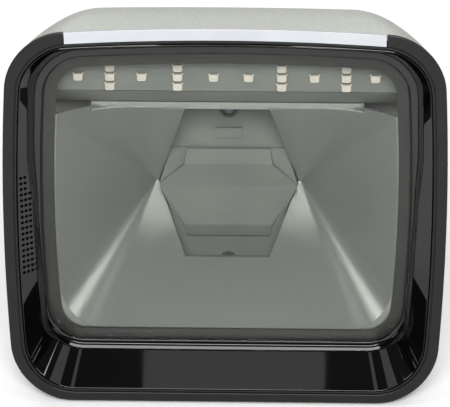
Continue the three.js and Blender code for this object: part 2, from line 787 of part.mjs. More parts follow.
function rearHousing(headInverse) {
  const { under, thick } = SHELL_FLOOR;
  let fittings = slab(BASE.step - GAP, BASE.stepFront - GAP, -1, BASE.pocketTop);
  let bosses = solidOf(upright(...BOSSES[0], BOSS.radius, under + thick - 1, BOSS.top, 20));
  for (const [x, y] of BOSSES.slice(1)) {
    bosses = bosses.add(solidOf(upright(x, y, BOSS.radius, under + thick - 1, BOSS.top, 20)));
  }
  for (const [x, y] of BOSSES) {
    fittings = fittings.add(solidOf(upright(x, y, BOSS.bore, 0, SCREW.top + 0.5, 12)));
  }
  const { half, low, high } = SOCKET;
  const socketHole = box([-half - GAP, 78, low - GAP], [half + GAP, 90, high + GAP]);
  const buttonHole = barAlongDepth(0, BUTTON.z, BUTTON.radius + GAP, 78, 90, 32);
  return shell()
    .subtract(aboveSplit(-GAP / 2))
    .subtract(solidOf(socketHole))
    .subtract(solidOf(buttonHole))
    .add(leaned(bosses, headInverse))
    .subtract(leaned(fittings, headInverse));
}

// An upright solid as the leaning head sees it.
function leaned(solid, headInverse) {
  return solidOf(geometryOf(solid).applyMatrix4(headInverse));
}

function ballastPlate() {
  const floor = SHELL_FLOOR.under + SHELL_FLOOR.thick + GAP;
  return box([-BALLAST.half, BALLAST.front, floor], [BALLAST.half, BALLAST.rear, floor + BALLAST.thick]);
}

// ---------------------------------------------------------------- assembly
const root = new THREE.Group();
const head = new THREE.Group();
head.position.y = FRONT_Y;
head.rotation.x = -TILT;
head.updateMatrix();
root.add(head);
const headInverse = head.matrix.clone().invert();

add(head, "front_frame", frontFrame(), satinBlack);
add(head, "light_bar", lightBar(), diffuser);
add(head, "light_bar_board", lightBarBoard(), board);
add(head, "bezel", bezel(), glossBlack);
add(head, "speaker_cloth", slopePlate(GAP, SPEAKER.cloth), cloth);
add(head, "speaker", slopePlate(SPEAKER.cloth + 2 * GAP, SPEAKER.thick), darkPart);
add(head, "window_glass", windowGlass(), clearGlass);
add(head, "window_gasket", windowGasket(), rubber);
add(head, "reflector", reflector(), mirrorGrey);
add(head, "led_carrier", ledCarrier(), innerGrey);
add(head, "led_board", ledBoard(), board);
let ledCount = 0;
LED_COLUMNS.forEach((x, column) => {
  const rows = TRIPLE_COLUMNS.includes(column) ? [1, 0, -1] : [0];
  for (const row of rows) {
    ledCount += 1;
    add(head, `led_${ledCount}`, led(x, LED_MIDDLE + row * LED_PITCH), ledBody);
  }
});
add(head, "optics_carrier", opticsCarrier(), innerGrey);
add(head, "lens_barrel", lensBarrel(), darkPart);
add(head, "lens_element", lensElement(), lensGlass);
add(head, "aimer_lens", aimerLens(), lensGlass);
add(head, "carrier_screw", carrierScrew(), steel);
add(head, "sensor_board", sensorBoard(), board);
add(head, "flex_cable", flexCable(), flexFilm);
add(head, "main_board", mainBoard(), board);
add(head, "processor_shield", processorShield(), steel);
add(head, "tact_switch", tactSwitch(), darkPart);
add(head, "function_button", functionButton(), darkPart);
add(head, "cable_socket", cableSocket(), darkPart);
add(head, "top_cover", shell().intersect(aboveSplit(GAP / 2)), silverPaint);
add(head, "rear_housing", rearHousing(headInverse), shellBlack);
add(root, "ballast_plate", ballastPlate(), steel);
add(root, "base_plate", basePlate(), shellBlack);
FEET.forEach(([x, y], i) => {
  add(root, `rubber_foot_${i + 1}`, upright(x, y, FOOT.radius, 0, FOOT.top, 24), rubber);
});
BOSSES.forEach(([x, y], i) => {
  add(root, `base_screw_${i + 1}`, baseScrew(x, y), steel);
});

export default root;
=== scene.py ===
import math

import bmesh
import bpy
from mathutils import Matrix, Vector


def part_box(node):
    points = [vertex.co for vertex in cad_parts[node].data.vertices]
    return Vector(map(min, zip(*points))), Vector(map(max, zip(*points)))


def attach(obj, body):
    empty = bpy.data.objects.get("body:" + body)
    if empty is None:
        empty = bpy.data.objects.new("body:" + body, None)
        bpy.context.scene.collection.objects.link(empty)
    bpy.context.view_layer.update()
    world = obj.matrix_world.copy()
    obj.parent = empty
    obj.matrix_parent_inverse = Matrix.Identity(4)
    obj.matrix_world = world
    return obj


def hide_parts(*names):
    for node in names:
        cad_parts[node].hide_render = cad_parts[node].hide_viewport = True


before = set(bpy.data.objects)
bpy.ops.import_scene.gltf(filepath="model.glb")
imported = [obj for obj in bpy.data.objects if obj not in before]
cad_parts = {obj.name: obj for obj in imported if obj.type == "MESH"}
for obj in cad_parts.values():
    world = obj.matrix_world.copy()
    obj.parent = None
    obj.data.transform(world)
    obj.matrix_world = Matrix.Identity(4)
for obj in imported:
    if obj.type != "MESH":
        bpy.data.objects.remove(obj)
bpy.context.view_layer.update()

# ------------------------------------------------------------------ sizes, in millimetres
MM = 0.001
TILT = math.radians(5)  # the head leans back by this much
FRONT_Y = -44.88  # where the lip's plane meets the counter
GAP = 0.3

# Outlines in the lip's plane.
LIP = {"half": 68.65, "top": 123.6, "bottom": 1, "upper": 17.2, "lower": 18.6}
GROOVE = {"half": 64.4, "top": 119.0, "bottom": 4.6, "upper": 14, "lower": 15.3}
WINDOW = {"half": 58.25, "top": 110.8, "bottom": 15.1, "upper": 11.4, "lower": 11.4}
PANE = {"half": 57.85, "top": 110.4, "bottom": 15.5, "upper": 11, "lower": 11}
SEAL = {"half": 59.4, "top": 111.9, "bottom": 14.0, "upper": 12.4, "lower": 12.4}
CLEAR = {"half": 54.2, "top": 106.4, "bottom": 17.6, "upper": 7.5, "lower": 7.5}
MIRROR = {"half": 54.3, "top": 104.6, "bottom": 16.6, "upper": 17, "lower": 14}
MIRROR_WINDOW = {"half": 55.4, "top": 108.9, "bottom": 15.9, "upper": 9, "lower": 14}
FLANGE = {"half": 58.5, "top": 110.9, "bottom": 13.2, "upper": 12, "lower": 12}
SIDE_BARREL = 0.037  # how far the long edges bow, as a share of the half width
SIDE_TAPER = 0.005  # how much wider the top is than the middle, as a share of the half width
TOP_CROWN = 0.045  # how far the top edge bows, as a share of the half height

SHELL_START = 1.5
WALL = 2
FLOOR_UNDER = 1.6
GLASS_FRONT = 18
GLASS_THICK = 2
FLANGE_FRONT = 21.6
VALLEY = {"depth": 60, "height": 54.1, "half": 23.6}
LEDGE = {"depth": 34.9, "low": 87.3, "high": 89, "half": 43.3, "thick": 1.8}
BAR = {"half": 49, "share": 0.79, "depth": 1.2}
BODY = [
    # depth, half width, top, upper radius, lower radius, crown of the top edge
    (SHELL_START, 68.5, 123.5, 17.4, 18.6, 0.045),
    (10, 66.6, 123.3, 18.5, 18.5, 0.03),
    (20, 63.9, 122.9, 19.8, 18, 0.018),
    (30, 61.2, 121.7, 20.5, 17.5, 0.015),
    (40, 57.8, 118.3, 20.5, 17, 0.015),
    (50, 53.8, 113.2, 20.5, 16.5, 0.015),
    (60, 49.1, 107.0, 20.5, 16, 0.015),
    (70, 44.0, 100.2, 20, 15, 0.015),
    (77, 39.8, 94.8, 19.5, 14, 0.015),
    (81, 36.0, 90.0, 18, 13, 0.015),
    (82.5, 31.5, 85.0, 16, 12, 0.015),
]
SPLIT_FRONT = 76
SPLIT_REAR = 62

LEAN = (
    Matrix.Translation((0, FRONT_Y * MM, 0))
    @ Matrix.Rotation(-TILT, 4, "X")
    @ Matrix.Diagonal((MM, MM, MM, 1))
)


# ------------------------------------------------------------------ camera
CAMERA_FROM_RIGHT = math.radians(1.3)
CAMERA_ABOVE = math.radians(25)
CAMERA_AWAY = 1.0
LENS_MM = 258.6
AIM_HEIGHT = 63.1


def make_camera():
    aim = LEAN @ Vector((0, 0, AIM_HEIGHT))
    back = Vector(
        (
            math.sin(CAMERA_FROM_RIGHT) * math.cos(CAMERA_ABOVE),
            -math.cos(CAMERA_FROM_RIGHT) * math.cos(CAMERA_ABOVE),
            math.sin(CAMERA_ABOVE),
        )
    )
    data = bpy.data.cameras.new("camera")
    data.lens = LENS_MM
    data.shift_x = 0.0007
    data.shift_y = 0.03
    camera = bpy.data.objects.new("camera", data)
    bpy.context.scene.collection.objects.link(camera)
    camera.location = aim + back * CAMERA_AWAY
    camera.rotation_euler = (-back).to_track_quat("-Z", "Y").to_euler()
    bpy.context.scene.camera = camera


make_camera()


# ------------------------------------------------------------------ mesh helpers
def new_object(name, verts, faces):
    mesh = bpy.data.meshes.new(name)
    mesh.from_pydata([tuple(v) for v in verts], [], faces)
    mesh.validate()
    obj = bpy.data.objects.new(name, mesh)
    bpy.context.scene.collection.objects.link(obj)
    return obj


def outline(shape, corner_steps=20, edge_steps=20):
    """The points of a rounded rectangle whose long edges bow out a little, from the lower right."""
    half, top, bottom = shape["half"], shape["top"], shape["bottom"]
    upper, lower = shape["upper"], shape["lower"]
    top_crown = shape.get("crown", TOP_CROWN)
    middle, rise = (top + bottom) / 2, (top - bottom) / 2
    corners = [
        (half - lower, bottom + lower, lower, -90),
        (half - upper, top - upper, upper, 0),
        (upper - half, top - upper, upper, 90),
        (lower - half, bottom + lower, lower, 180),
    ]
    flat = []
    for k, (cx, cz, r, start) in enumerate(corners):
        for i in range(corner_steps + 1):
            a = math.radians(start + 90 * i / corner_steps)
            flat.append((cx + r * math.cos(a), cz + r * math.sin(a)))
        nx, nz, nr, turn = corners[(k + 1) % 4]
        x0, z0 = flat[-1]
        x1 = nx + nr * math.cos(math.radians(turn))
        z1 = nz + nr * math.sin(math.radians(turn))
        for i in range(1, edge_steps):
            t = i / edge_steps
            flat.append((x0 + (x1 - x0) * t, z0 + (z1 - z0) * t))
    bowed = []
    for x, z in flat:
        up, out = (z - middle) / rise, x / half
        crown = top_crown * out * out if z > middle else 0
        side = 1 - SIDE_BARREL * up * up + SIDE_TAPER * up
        bowed.append((x * side, middle + (z - middle) * (1 - crown)))
    return bowed


def between(a, b, t):
    return {key: a[key] + (b[key] - a[key]) * t for key in a}


def inset(shape, by):
    return {
        "half": shape["half"] - by,
        "top": shape["top"] - by,
        "bottom": shape["bottom"] + by,
        "upper": max(shape["upper"] - by, 1),
        "lower": max(shape["lower"] - by, 1),
    }


def loft(name, layers, ring, corner_steps=20, edge_steps=20):
    """Joins outlines at their depths: a ring closes on itself, and anything else is capped."""
    verts, faces = [], []
    count = 0
    for shape, depth in layers:
        points = outline(shape, corner_steps, edge_steps)
        count = len(points)
        verts += [(x, depth, z) for x, z in points]
    total = len(layers)
    for k in range(total if ring else total - 1):
        a, b = k * count, ((k + 1) % total) * count
        for i in range(count):
            j = (i + 1) % count
            faces.append((a + i, a + j, b + j, b + i))
    if not ring:
        faces.append(tuple(range(count - 1, -1, -1)))
        faces.append(tuple((total - 1) * count + i for i in range(count)))
    obj = new_object(name, verts, faces)
    turn_outwards(obj)
    return obj


def turn_outwards(obj):
    bm = bmesh.new()
    bm.from_mesh(obj.data)
    bmesh.ops.remove_doubles(bm, verts=bm.verts, dist=1e-4)
    bmesh.ops.dissolve_degenerate(bm, edges=bm.edges, dist=1e-5)
    bmesh.ops.recalc_face_normals(bm, faces=bm.faces)
    if bm.calc_volume(signed=True) < 0:
        bmesh.ops.reverse_faces(bm, faces=bm.faces)
    bm.to_mesh(obj.data)
    bm.free()


def box(name, low, high):
    corners = [(x, y, z) for x in (low[0], high[0]) for y in (low[1], high[1]) for z in (low[2], high[2])]
    faces = [(0, 1, 3, 2), (4, 6, 7, 5), (0, 4, 5, 1), (2, 3, 7, 6), (0, 2, 6, 4), (1, 5, 7, 3)]
    obj = new_object(name, corners, faces)
    turn_outwards(obj)
    return obj


def lathe(name, profile, steps=48):
    """Turns a profile of (radius, depth) about the depth axis; the profile starts and ends on the axis."""
    verts, faces = [], []
    for r, y in profile:
        for i in range(steps):
            a = 2 * math.pi * i / steps
            verts.append((r * math.cos(a), y, r * math.sin(a)))
    for k in range(len(profile) - 1):
        for i in range(steps):
            j = (i + 1) % steps
            faces.append((k * steps + i, k * steps + j, (k + 1) * steps + j, (k + 1) * steps + i))
    obj = new_object(name, verts, faces)
    turn_outwards(obj)
    return obj


def prism(name, points, low, high, axis):
    """An outline of (a, b) points, extruded: along x it holds depth and height, along y x and height,
    and along z x and depth."""
    place = {
        "x": lambda a, b, c: (c, a, b),
        "y": lambda a, b, c: (a, c, b),
        "z": lambda a, b, c: (a, b, c),
    }[axis]
    count = len(points)
    verts = [place(a, b, low) for a, b in points] + [place(a, b, high) for a, b in points]
    faces = [tuple(range(count)), tuple(range(2 * count - 1, count - 1, -1))]
    faces += [(i, (i + 1) % count, count + (i + 1) % count, count + i) for i in range(count)]
    obj = new_object(name, verts, faces)
    turn_outwards(obj)
    return obj


def join(objs):
    bm = bmesh.new()
    for obj in objs:
        obj.data.transform(obj.matrix_world)
        bm.from_mesh(obj.data)
    bm.to_mesh(objs[0].data)
    bm.free()
    objs[0].matrix_world = Matrix.Identity(4)
    for obj in objs[1:]:
        bpy.data.objects.remove(obj, do_unlink=True)
    return objs[0]


def freeze(obj):
    """Makes the mesh what its modifiers show, and drops them."""
    bpy.context.view_layer.update()
    shown = obj.evaluated_get(bpy.context.evaluated_depsgraph_get())
    mesh = bpy.data.meshes.new_from_object(shown)
    obj.modifiers.clear()
    obj.data = mesh
    return obj


def carve(obj, tool, operation="DIFFERENCE"):
    step = obj.modifiers.new("carve", "BOOLEAN")
    step.operation = operation
    step.solver = "EXACT"
    step.object = tool
    freeze(obj)
    bpy.data.objects.remove(tool, do_unlink=True)
    return obj


def soften(obj, width=0.25, segments=2, angle=30):
    step = obj.modifiers.new("edges", "BEVEL")
    step.width = width
    step.segments = segments
    step.limit_method = "ANGLE"
    step.angle_limit = math.radians(angle)
    step.miter_outer = "MITER_ARC"
    return freeze(obj)


def place(obj, material, nodes, matrix=LEAN, body="housing", smooth=40, slot=None):
    """Puts a piece where it belongs in the frame, in place of CAD nodes."""
    obj.data.transform(matrix)
    for polygon in obj.data.polygons:
        polygon.use_smooth = True
    obj.data.set_sharp_from_angle(angle=math.radians(smooth))
    obj.data.materials.clear()
    obj.data.materials.append(material)
    step = obj.modifiers.new("normals", "WEIGHTED_NORMAL")
    step.keep_sharp = True
    step.weight = 60
    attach(obj, body)
    if nodes:
        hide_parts(*nodes)
    return obj


def fillet(points, radius, steps=5):
    """Rounds every inner corner of an open line of (a, b) points."""
    out = [points[0]]
    for before, corner, after in zip(points, points[1:], points[2:]):
        c = Vector(corner)
        u, v = Vector(before) - c, Vector(after) - c
        reach = min(radius, u.length * 0.45, v.length * 0.45)
        a, b = c + u.normalized() * reach, c + v.normalized() * reach
        for i in range(steps + 1):
            t = i / steps
            p = a * (1 - t) ** 2 + c * (2 * t * (1 - t)) + b * t * t
            out.append((p.x, p.y))
    out.append(points[-1])
    return out


# ------------------------------------------------------------------ materials
class Nodes:
    """A material under construction: its node tree and its shader."""

    def __init__(self, name):
        self.material = bpy.data.materials.new(name)
        self.material.use_nodes = True
        self.tree = self.material.node_tree
        self.shader = self.tree.nodes["Principled BSDF"]
        self.coords = self.add("ShaderNodeTexCoord").outputs["Object"]

    def add(self, kind, **values):
        node = self.tree.nodes.new(kind)
        for key, value in values.items():
            setattr(node, key, value)
        return node

    def link(self, a, b):
        self.tree.links.new(a, b)

    def noise(self, scale, detail=3, roughness=0.5, coords=None):
        node = self.add("ShaderNodeTexNoise")
        node.inputs["Scale"].default_value = scale
        node.inputs["Detail"].default_value = detail
        node.inputs["Roughness"].default_value = roughness
        self.link(coords or self.coords, node.inputs["Vector"])
        return node.outputs["Fac"]

    def ramp(self, source, stops):
        node = self.add("ShaderNodeValToRGB")
        elements = node.color_ramp.elements
        elements[0].position, elements[0].color = stops[0][0], grey(stops[0][1])
        elements[1].position, elements[1].color = stops[-1][0], grey(stops[-1][1])
        for position, value in stops[1:-1]:
            elements.new(position).color = grey(value)
        self.link(source, node.inputs["Fac"])
        return node.outputs["Color"]

    def bump(self, height, strength, distance):
        node = self.add("ShaderNodeBump")
        node.inputs["Strength"].default_value = strength
        node.inputs["Distance"].default_value = distance
        self.link(height, node.inputs["Height"])
        return node.outputs["Normal"]

    def set(self, name, value):
        socket = self.shader.inputs[name]
        if isinstance(value, bpy.types.NodeSocket):
            self.link(value, socket)
        else:
            socket.default_value = value


def grey(value):
    if isinstance(value, (int, float)):
        return (value, value, value, 1)
    return (*value, 1)


def linear(r, g, b):
    """Display values from 0 to 255 as scene values."""
    def one(v):
        v /= 255
        return v / 12.92 if v <= 0.04045 else ((v + 0.055) / 1.055) ** 2.4
    return (one(r), one(g), one(b))


def moulded(name, low, high, roughness, grain=900, depth=0.00002, strength=0.5, ior=1.5):
    """Moulded plastic: a fine even grain, with faint cloudiness in its colour and its gloss."""
    m = Nodes(name)
    m.set("Base Color", m.ramp(m.noise(55, 4, 0.6), [(0.35, low), (0.65, high)]))
    m.set("Roughness", m.ramp(m.noise(120, 3), [(0.3, roughness * 0.9), (0.7, roughness * 1.1)]))
    m.set("Normal", m.bump(m.noise(grain, 4, 0.65), strength, depth))
    m.set("IOR", ior)
    return m.material


def satin_black():
    return moulded("satin_black", linear(10, 10, 9), linear(14, 14, 13), 0.4, 2200, 0.00001, 0.4, 1.38)


def shell_black():
    return moulded("shell_black", linear(20, 20, 19), linear(27, 27, 26), 0.5, 1500, 0.00003, 0.6)


def gloss_black():
    """Polished black with the faint waviness of a moulded face and a few soft smears."""
    m = Nodes("gloss_black")
    m.set("Base Color", m.ramp(m.noise(40, 3), [(0.3, linear(3, 3, 4)), (0.7, linear(6, 6, 7))]))
    m.set("Roughness", m.ramp(m.noise(25, 5, 0.7), [(0.4, 0.015), (0.75, 0.04)]))
    m.set("IOR", 1.52)
    m.set("Normal", m.bump(m.noise(60, 2), 0.1, 0.00004))
    return m.material


def silver_paint():
    """Light silver paint over a fine spark texture."""
    m = Nodes("silver_paint")
    fine = m.noise(2600, 2, 0.6)
    m.set("Base Color", m.ramp(fine, [(0.3, linear(162, 165, 158)), (0.7, linear(196, 199, 191))]))
    m.set("Metallic", 0.25)
    m.set("Roughness", m.ramp(m.noise(900, 2), [(0.3, 0.42), (0.7, 0.58)]))
    m.set("Normal", m.bump(m.noise(1700, 3, 0.6), 0.5, 0.00003))
    return m.material


def white_diffuser():
    m = Nodes("diffuser")
    m.set("Base Color", m.ramp(m.noise(90, 3), [(0.3, linear(173, 176, 180)), (0.7, linear(180, 183, 187))]))
    m.set("Roughness", m.ramp(m.noise(300, 2), [(0.3, 0.3), (0.7, 0.4)]))
    m.set("Subsurface Weight", 0.2)
    m.set("Subsurface Scale", 0.002)
    m.set("Normal", m.bump(m.noise(800, 2), 0.2, 0.00001))
    return m.material


def sparkling_grey():
    """Grey metallic paint with a very fine sparkle."""
    m = Nodes("sparkling_grey")
    fine = m.noise(1500, 2)
    m.set("Base Color", m.ramp(fine, [(0.35, linear(119, 123, 117)), (0.7, linear(131, 135, 128))]))
    m.set("Metallic", 0.45)
    m.set("Roughness", m.ramp(m.noise(60, 2), [(0.3, 0.23), (0.7, 0.26)]))
    m.set("Normal", m.bump(m.noise(2400, 2, 0.6), 0.8, 0.00004))
    return m.material


def inner_grey():
    return moulded("inner_grey", linear(98, 102, 96), linear(106, 110, 103), 0.5, 500, 0.00001, 0.1, 1.15)


def window_glass():
    """Thin coated glass: nearly all light passes straight through, and a little is mirrored."""
    m = Nodes("clear_glass")
    m.set("Base Color", m.ramp(m.noise(30, 2), [(0.3, (0.97, 0.99, 1.0)), (0.7, (1.0, 1.0, 1.0))]))
    m.set("Metallic", 1.0)
    m.set("Roughness", m.ramp(m.noise(30, 4, 0.7), [(0.4, 0.01), (0.8, 0.03)]))
    m.set("Alpha", m.ramp(m.noise(18, 2), [(0.3, (0.011, 0.011, 0.011)), (0.7, (0.013, 0.013, 0.013))]))
    return m.material


def border_print():
    """Dark grey ink printed on the glass, all round the clear part."""
    return moulded("border_print", linear(44, 44, 42), linear(47, 47, 44), 0.5, 300, 0.00001, 0.05, 1.15)


def rubber():
    return moulded("rubber", linear(24, 24, 24), linear(34, 34, 33), 0.8, 1100, 0.00006, 0.8)


def circuit_board():
    """Green solder mask over copper tracks that show as slightly raised and lighter."""
    m = Nodes("circuit_board")
    tracks = m.add("ShaderNodeTexBrick")
    tracks.inputs["Scale"].default_value = 260
    tracks.inputs["Mortar Size"].default_value = 0.06
    m.link(m.coords, tracks.inputs["Vector"])
    m.set("Base Color", m.ramp(tracks.outputs["Fac"], [(0.2, linear(28, 66, 42)), (0.8, linear(58, 98, 66))]))
    m.set("Roughness", m.ramp(m.noise(400, 3), [(0.3, 0.3), (0.7, 0.45)]))
    m.set("Normal", m.bump(tracks.outputs["Fac"], 0.4, 0.00003))
    return m.material


def led_cream():
    m = Nodes("led_cream")
    m.set("Base Color", m.ramp(m.noise(600, 3), [(0.3, linear(172, 168, 154)), (0.7, linear(186, 182, 169))]))
    m.set("Roughness", m.ramp(m.noise(900, 2), [(0.3, 0.3), (0.7, 0.5)]))
    m.set("Normal", m.bump(m.noise(1500, 2), 0.2, 0.00001))
    return m.material


def lamp_yellow():
    """The pale yellow, slightly glossy face of a white lamp."""
    m = Nodes("lamp_yellow")
    m.set("Base Color", m.ramp(m.noise(500, 3), [(0.3, linear(148, 139, 107)), (0.7, linear(164, 155, 126))]))
    m.set("Roughness", m.ramp(m.noise(700, 2), [(0.3, 0.15), (0.7, 0.3)]))
    return m.material


def dark_plastic():
    return moulded("dark_plastic", linear(26, 26, 27), linear(33, 33, 34), 0.45, 1400, 0.00002, 0.5)


def lens_dark():
    m = Nodes("lens_dark")
    m.set("Base Color", m.ramp(m.noise(300, 2), [(0.3, linear(92, 96, 92)), (0.7, linear(106, 110, 106))]))
    m.set("Roughness", m.ramp(m.noise(200, 2), [(0.3, 0.02), (0.7, 0.05)]))
    m.set("Coat Weight", 1.0)
    m.set("Coat Tint", (0.7, 0.8, 1.0, 1))
    return m.material


def plain_steel():
    m = Nodes("plain_steel")
    stretch = m.add("ShaderNodeMapping")
    stretch.inputs["Scale"].default_value = (1, 14, 1)
    m.link(m.coords, stretch.inputs["Vector"])
    lines = m.noise(500, 4, 0.6, stretch.outputs["Vector"])
    m.set("Base Color", m.ramp(lines, [(0.3, linear(140, 140, 138)), (0.7, linear(172, 172, 169))]))
    m.set("Metallic", 1.0)
    m.set("Roughness", m.ramp(lines, [(0.3, 0.28), (0.7, 0.45)]))
    m.set("Normal", m.bump(lines, 0.2, 0.00001))
    return m.material


def amber_film():
    return moulded("amber_film", linear(150, 90, 30), linear(176, 112, 44), 0.35, 700, 0.00001, 0.3)


def dust_cloth():
    m = Nodes("dust_cloth")
    weave = m.add("ShaderNodeTexWave")
    weave.inputs["Scale"].default_value = 1200
    m.link(m.coords, weave.inputs["Vector"])
    m.set("Base Color", m.ramp(weave.outputs["Fac"], [(0.2, linear(10, 10, 10)), (0.8, linear(30, 30, 30))]))
    m.set("Roughness", m.ramp(m.noise(800, 2), [(0.3, 0.85), (0.7, 1.0)]))
    m.set("Normal", m.bump(weave.outputs["Fac"], 0.7, 0.0001))
    return m.material


def floor_paint():
    m = Nodes("floor")
    m.set("Base Color", m.ramp(m.noise(6, 3), [(0.3, (0.93, 0.93, 0.93)), (0.7, (0.95, 0.95, 0.95))]))
    m.set("Roughness", m.ramp(m.noise(20, 3), [(0.3, 0.7), (0.7, 0.85)]))
    return m.material


SATIN_BLACK = satin_black()
SHELL_BLACK = shell_black()
GLOSS_BLACK = gloss_black()
SILVER = silver_paint()
DIFFUSER = white_diffuser()
MIRROR_GREY = sparkling_grey()
INNER_GREY = inner_grey()
GLASS = window_glass()
BORDER = border_print()
RUBBER = rubber()
BOARD = circuit_board()
LED = led_cream()
PHOSPHOR = lamp_yellow()
DARK = dark_plastic()
LENS = lens_dark()
STEEL = plain_steel()
FILM = amber_film()
CLOTH = dust_cloth()


# ------------------------------------------------------------------ lip and light bar
def lip_at(t, depth=0.0):
    shape = between(LIP, GROOVE, t)
    shape["bottom"] += depth * math.tan(TILT)
    return shape


def lip_ring(name, profile):
    return loft(name, [(lip_at(t, depth), depth) for t, depth in profile], ring=True)


def bar_space(name, share, half):
    """The room at the top of the lip between two x values, down to a share of the lip's width."""
    room = lip_ring(name, [(-0.3, -1), (-0.3, 10), (share, 10), (share, -1)])
    return carve(room, box("side_cut", (-half, -2, 100), (half, 11, 130)), "INTERSECT")


def make_lip():
    back = SHELL_START - GAP
    outer = fillet([(0, back), (0, 0), (0.78, 0), (0.79, 0.7)], 0.2, 6)
    bead = fillet([(0.85, 0.7), (0.86, 0.25), (0.99, 0.25), (1.0, 0.8), (1.0, 2.4)], 0.04, 3)
    lip = lip_ring("front_lip", [*outer, *bead, (0.86, 2.4), (0.8, back)])
    carve(lip, bar_space("notch", BAR["share"] + 0.02, BAR["half"] + GAP))
    place(lip, SATIN_BLACK, ["front_frame"], slot="satin_black")


def make_light_bar():
    edge = fillet([(0, BAR["depth"]), (0, 0), (BAR["share"], 0), (BAR["share"], BAR["depth"])], 0.12, 6)
    bar = lip_ring("light_strip", edge)
    carve(bar, box("ends", (-BAR["half"], -1, 100), (BAR["half"], 6, 130)), "INTERSECT")
    soften(bar, 0.3, 3, 60)
    place(bar, DIFFUSER, ["light_bar"], slot="diffuser")


# ------------------------------------------------------------------ bezel
# Each line gives a value at heights from 0 at the bottom of the bezel to 1 at its top.
LAND_WIDE = [
    (0, 1.57), (0.05, 1.3), (0.12, 0.5), (0.2, 0.3), (0.35, 0.6), (0.5, 1.05), (0.73, 2.3), (0.84, 2.9),
    (0.93, 2.6), (1, 2.4),
]
STEP_WIDE = [
    (0, -0.6), (0.03, -0.4), (0.1, 0.7), (0.2, 0.8), (0.5, 0.2), (0.73, 1.0), (0.84, 1.2), (0.93, 3.4),
    (1, 5.0),
]
SLOPE_PITCH = [(0, 1.17), (0.03, 1.15), (0.13, 0.88), (0.3, 0.82), (1, 0.82)]
SLOPE_START = 0.35
BEND_STEPS = 5
STEP_END = 16.4
BEZEL_THICK = 1.0
SLOPE_THICK = 1.8
GRILLE = {"rows": 18, "pitch": 1.84, "middle": 59.1, "radius": 0.48}
GRILLE_COLUMNS = [(-62.8, 18), (-61.6, 18), (-60.4, 15), (-59.2, 9)]  # place, and rows counted from below
GRILLE_LEAN = 0.018


def along(line, at):
    """The value at a place on a line of (place, value) points."""
    for (a, va), (b, vb) in zip(line, line[1:]):
        if at <= b:
            t = max(at - a, 0) / (b - a)
            return va + (vb - va) * t * t * (3 - 2 * t)
    return line[-1][1]


def held(line, arc_steps):
    """Adds a point near each end of the runs between rounded corners, which keeps their shading flat."""
    points = [line[0]]
    for k, ((a, d), (b, e)) in enumerate(zip(line, line[1:])):
        if k % (arc_steps + 1) == 0:
            share = min(0.12 / max(math.hypot(b - a, e - d), 0.01), 0.3)
            points.append((a + (b - a) * share, d + (e - d) * share))
            points.append((b - (b - a) * share, e - (e - d) * share))
        points.append((b, e))
    return points


def bezel_section(width, height):
    """A slope, a steep step and a narrow land, as (way in, depth) points, and the back behind them."""
    end = GLASS_FRONT - GAP
    land, step = along(LAND_WIDE, height), along(STEP_WIDE, height)
    pitch = along(SLOPE_PITCH, height)
    bend = width - land - step
    bend_depth = SLOPE_START + pitch * bend
    corner = width - land
    line = [
        (0, SLOPE_START + 0.5), (0.1, SLOPE_START), (bend, bend_depth), (corner, STEP_END),
        (width - 0.15, STEP_END + 0.2), (width, STEP_END + 0.4), (width, end),
    ]
    face = held(fillet(line, min(0.45, land * 0.6), BEND_STEPS), BEND_STEPS)
    behind = SLOPE_THICK * math.hypot(1, pitch)
    wall = max(bend - BEZEL_THICK, 0.1)
    back = [(wall + step, end), (wall, SLOPE_START + pitch * wall + behind), (0, SLOPE_START + behind)]
    return [*face, *back]


def make_bezel():
    steps = (28, 30)
    rim = outline(inset(GROOVE, GAP), *steps)
    hole = outline(WINDOW, *steps)
    count = len(rim)
    sections = []
    for (x0, z0), (x1, z1) in zip(rim, hole):
        width = math.hypot(x1 - x0, z1 - z0)
        height = (z0 - GROOVE["bottom"]) / (GROOVE["top"] - GROOVE["bottom"])
        section = bezel_section(width, height)
        sections.append([(x0 + (x1 - x0) * a / width, d, z0 + (z1 - z0) * a / width) for a, d in section])
    rows = len(sections[0])
    verts = [p for section in sections for p in section]
    faces = []
    for i in range(count):
        j = (i + 1) % count
        for k in range(rows):
            m = (k + 1) % rows
            faces.append((i * rows + k, i * rows + m, j * rows + m, j * rows + k))
    bezel = new_object("bezel_funnel", verts, faces)
    turn_outwards(bezel)
    drills = []
    for x, rows_here in GRILLE_COLUMNS:
        for row in range(rows_here):
            up = (row - (GRILLE["rows"] - 1) / 2) * GRILLE["pitch"]
            radius = GRILLE["radius"]
            drill = lathe("drill", [(0, -1), (radius, -1), (radius, 15), (0, 15)], 16)
            drill.data.transform(Matrix.Translation((x - GRILLE_LEAN * up, 0, GRILLE["middle"] + up)))
            drills.append(drill)
    carve(bezel, join(drills))
    place(bezel, GLOSS_BLACK, ["bezel"], smooth=32, slot="gloss_black")


# ------------------------------------------------------------------ window
def make_window():
    rear = GLASS_FRONT + GLASS_THICK
    pane = loft(
        "window_pane",
        [
            (CLEAR, GLASS_FRONT),
            (inset(PANE, 0.2), GLASS_FRONT),
            (PANE, GLASS_FRONT + 0.2),
            (PANE, rear - 0.2),
            (inset(PANE, 0.2), rear),
            (CLEAR, rear),
        ],
        ring=False,
    )
    for face in pane.data.polygons:
        face.material_index = 1 if len(face.vertices) == 4 else 0
    place(pane, GLASS, ["window_glass"], smooth=30, slot="clear_glass")
    pane.data.materials.append(BORDER)
    front = rear + GAP
    border = loft(
        "window_border",
        [(SEAL, front), (SEAL, front + 1), (CLEAR, front + 1), (CLEAR, front)],
        ring=True,
    )
    place(border, BORDER, ["window_gasket"], slot="seal_rubber")


# ------------------------------------------------------------------ reflector
MIRROR_WALL = 1.8
PORT = {"half": 23, "upper": 13.3, "lower": 13.6, "down": 19.4}


